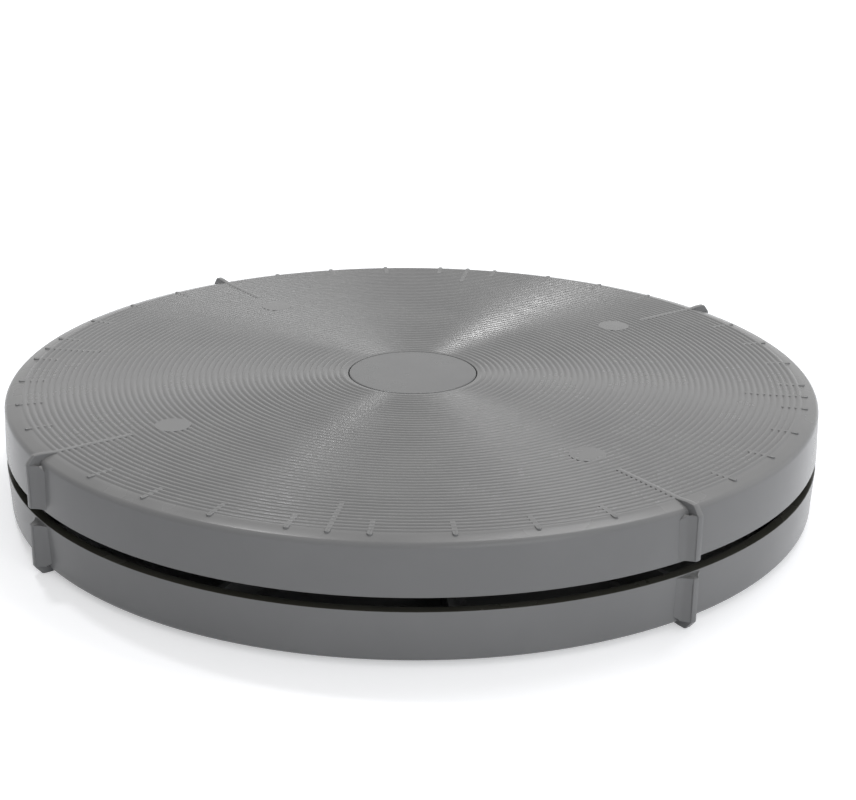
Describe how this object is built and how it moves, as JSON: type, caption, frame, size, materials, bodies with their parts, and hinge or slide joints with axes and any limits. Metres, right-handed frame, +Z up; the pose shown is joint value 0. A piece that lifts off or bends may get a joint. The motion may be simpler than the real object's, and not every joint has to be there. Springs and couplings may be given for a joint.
{
  "type": "twisting disc",
  "caption": "Low round two-part disc: a ridged plastic platform with radial ribs and grip lugs turns on its twin base through a caged ball race and a centre pivot.",
  "frame": {"origin": "on the floor plane, under the middle of the disc", "axes": "+Z up along the turning axis; +X and +Y along the ribs and lugs"},
  "size_m": [0.3122, 0.3122, 0.0432],
  "materials": {
    "shell_plastic": "satin moulded grey",
    "cap_plastic": "satin moulded grey",
    "race_steel": "turned steel, oiled",
    "ball_steel": "polished steel",
    "zinc_plate": "bright zinc plate",
    "cage_nylon": "natural nylon",
    "bush_acetal": "black acetal"
  },
  "bodies": {
    "base": {"lower_shell": "shell_plastic", "head_washer": "zinc_plate", "lower_bush": "bush_acetal", "lower_centre_cap": "cap_plastic", "lower_race": "race_steel", "lower_race_screw_01": "zinc_plate", "lower_race_screw_02": "zinc_plate", "lower_race_screw_03": "zinc_plate", "lower_race_screw_04": "zinc_plate", "nut_washer": "zinc_plate", "pivot_bolt": "zinc_plate", "pivot_nut": "zinc_plate", "pivot_sleeve": "zinc_plate", "spring_washer": "zinc_plate", "thrust_washer": "cage_nylon"},
    "platform": {"upper_shell": "shell_plastic", "upper_bush": "bush_acetal", "upper_centre_cap": "cap_plastic", "upper_race": "race_steel", "upper_race_screw_01": "zinc_plate", "upper_race_screw_02": "zinc_plate", "upper_race_screw_03": "zinc_plate", "upper_race_screw_04": "zinc_plate"},
    "cage": {"ball_cage": "cage_nylon", "bearing_ball_01": "ball_steel", "bearing_ball_02": "ball_steel", "bearing_ball_03": "ball_steel", "bearing_ball_04": "ball_steel", "bearing_ball_05": "ball_steel", "bearing_ball_06": "ball_steel", "bearing_ball_07": "ball_steel", "bearing_ball_08": "ball_steel", "bearing_ball_09": "ball_steel", "bearing_ball_10": "ball_steel", "bearing_ball_11": "ball_steel", "bearing_ball_12": "ball_steel", "bearing_ball_13": "ball_steel", "bearing_ball_14": "ball_steel", "bearing_ball_15": "ball_steel", "bearing_ball_16": "ball_steel", "bearing_ball_17": "ball_steel", "bearing_ball_18": "ball_steel", "bearing_ball_19": "ball_steel", "bearing_ball_20": "ball_steel"}
  },
  "joints": [
    {"name": "disc_spin", "type": "hinge", "parent": "base", "child": "platform", "pos_m": [0, 0, 0.0216], "axis": [0, 0, 1], "continuous": true},
    {"name": "cage_spin", "type": "hinge", "parent": "base", "child": "cage", "pos_m": [0, 0, 0.0216], "axis": [0, 0, 1], "continuous": true}
  ],
  "couplings": [
    {"joint": "cage_spin", "follows": "disc_spin", "ratio": 0.5}
  ]
}
